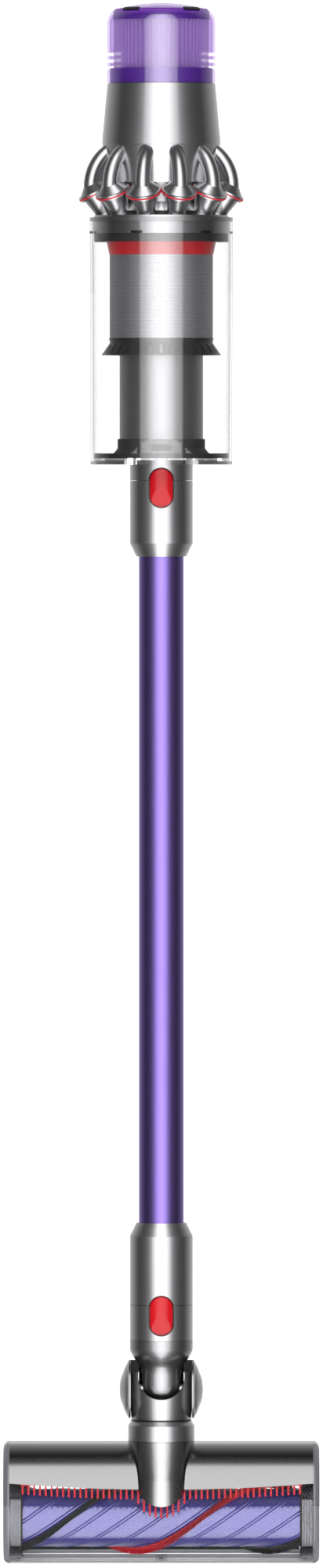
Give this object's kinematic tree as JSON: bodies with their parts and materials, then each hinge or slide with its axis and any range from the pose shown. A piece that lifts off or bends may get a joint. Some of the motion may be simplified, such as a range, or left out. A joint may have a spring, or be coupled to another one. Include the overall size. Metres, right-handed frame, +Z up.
{
  "type": "cordless stick vacuum cleaner",
  "caption": "Cordless stick vacuum with a clear cyclone bin, pleated filter cap, detachable wand, trigger handle with battery, and a pivoting cleaner head with a driven brush bar.",
  "frame": {"origin": "centre of the flat underside of the battery base, the face that rests in a wall dock", "axes": "+Z up along the wand with the cleaner head hanging below, +Y to the back towards the dock wall, +X to the right seen from the front"},
  "size_m": [0.2532, 0.26, 1.249],
  "materials": {
    "nickel": "satin nickel",
    "clear_purple": "clear tinted",
    "dark_purple": "satin",
    "pleats": "pleated filter cloth",
    "motor_metal": "machined",
    "copper": "wound",
    "steel": "machined",
    "fan_plastic": "moulded",
    "red": "gloss",
    "red_rubber": "moulded",
    "dark_grey": "satin",
    "black_rubber": "moulded",
    "black_plastic": "satin",
    "mesh_metal": "fine mesh",
    "grey": "satin",
    "clear": "clear",
    "clear_smoke": "clear tinted",
    "purple_metal": "anodised",
    "wire_cover": "satin",
    "board": "laminate",
    "cells": "wrapped",
    "brush_blue": "soft",
    "bristle_red": "bristle",
    "bristle_black": "bristle"
  },
  "bodies": {
    "machine": {"motor_housing": "nickel", "motor_can": "motor_metal", "motor_stator": "copper", "motor_bearings": "steel", "cyclone_caps": "nickel", "cyclone_gasket": "red_rubber", "cyclone_cones": "nickel", "bin_frame": "dark_grey", "bin_seal": "black_rubber", "shroud_band": "red", "shroud_mesh": "mesh_metal", "shroud_skirt": "black_plastic", "inner_tube": "grey", "tube_seal": "black_rubber", "handle_left": "dark_grey", "handle_right": "dark_grey", "handle_screws": "steel", "control_board": "board", "battery_case": "dark_grey", "battery_base": "black_plastic", "battery_cells": "cells"},
    "filter": {"filter_cap": "clear_purple", "filter_frame": "dark_purple", "filter_media": "pleats"},
    "fan": {"fan_shaft": "steel", "fan_impeller": "fan_plastic"},
    "trigger": {"trigger": "red"},
    "bin_lever": {"bin_lever": "red"},
    "bin": {"bin_shell": "clear", "bin_slider": "dark_grey", "base_hinge_pin": "steel"},
    "base": {"bin_base": "clear", "base_seal": "black_rubber", "inlet_dome": "clear", "inlet_collar": "nickel"},
    "wand": {"wand_tube": "purple_metal", "upper_collar": "nickel", "lower_collar": "nickel", "wand_wiring": "wire_cover"},
    "wand_button": {"wand_button": "red"},
    "neck": {"neck_collar": "nickel", "neck_yoke": "nickel"},
    "head_button": {"head_button": "red"},
    "elbow": {"elbow_cup": "nickel", "pivot_caps": "nickel", "swivel_collar": "nickel"},
    "head": {"head_shell": "nickel", "head_window": "clear", "end_cap_left": "clear_smoke", "end_cap_right": "clear_smoke", "sole_plate": "grey", "comb": "red", "brush_motor": "motor_metal"},
    "brush": {"brush_core": "brush_blue", "brush_red_strip": "bristle_red", "brush_black_strip": "bristle_black", "brush_hubs": "black_plastic"},
    "wheel_left": {"wheel_left": "black_plastic"},
    "wheel_right": {"wheel_right": "black_plastic"}
  },
  "joints": [
    {"name": "filter_twist", "type": "hinge", "parent": "machine", "child": "filter", "pos_m": [0, -0.172, 0.1651], "axis": [0, 0, 1], "range_deg": [0, 30]},
    {"name": "fan_spin", "type": "hinge", "parent": "machine", "child": "fan", "pos_m": [0, -0.172, 0.1307], "axis": [0, 0, 1], "continuous": true},
    {"name": "trigger_pull", "type": "slide", "parent": "machine", "child": "trigger", "axis": [0, 0, 1], "range_m": [0, 0.006], "stiffness_N_per_m": 500},
    {"name": "bin_lever_slide", "type": "slide", "parent": "machine", "child": "bin_lever", "axis": [0, 0, -1], "range_m": [0, 0.008], "stiffness_N_per_m": 400},
    {"name": "bin_slide", "type": "slide", "parent": "machine", "child": "bin", "axis": [0, 0, -1], "range_m": [0, 0.055]},
    {"name": "base_flap", "type": "hinge", "parent": "bin", "child": "base", "pos_m": [0, -0.1085, -0.1395], "axis": [1, 0, 0], "range_deg": [0, 90]},
    {"name": "wand_pull", "type": "slide", "parent": "base", "child": "wand", "axis": [0, 0, -1], "range_m": [0, 0.06]},
    {"name": "wand_button_press", "type": "slide", "parent": "wand", "child": "wand_button", "axis": [0, 1, 0], "range_m": [0, 0.0025], "stiffness_N_per_m": 1200},
    {"name": "head_pull", "type": "slide", "parent": "wand", "child": "neck", "axis": [0, 0, -1], "range_m": [0, 0.06]},
    {"name": "head_button_press", "type": "slide", "parent": "neck", "child": "head_button", "axis": [0, 1, 0], "range_m": [0, 0.0025], "stiffness_N_per_m": 1200},
    {"name": "elbow_pitch", "type": "hinge", "parent": "neck", "child": "elbow", "pos_m": [0, -0.172, -0.8793], "axis": [-1, 0, 0], "range_deg": [0, 65]},
    {"name": "head_swivel", "type": "hinge", "parent": "elbow", "child": "head", "pos_m": [0, -0.172, -0.9207], "axis": [0, 0, 1], "range_deg": [-90, 90]},
    {"name": "brush_spin", "type": "hinge", "parent": "head", "child": "brush", "pos_m": [0, -0.163, -0.9827], "axis": [1, 0, 0], "continuous": true},
    {"name": "wheel_left_spin", "type": "hinge", "parent": "head", "child": "wheel_left", "pos_m": [-0.07, -0.1372, -0.9358], "axis": [1, 0, 0], "continuous": true},
    {"name": "wheel_right_spin", "type": "hinge", "parent": "head", "child": "wheel_right", "pos_m": [0.07, -0.1372, -0.9358], "axis": [1, 0, 0], "continuous": true}
  ]
}
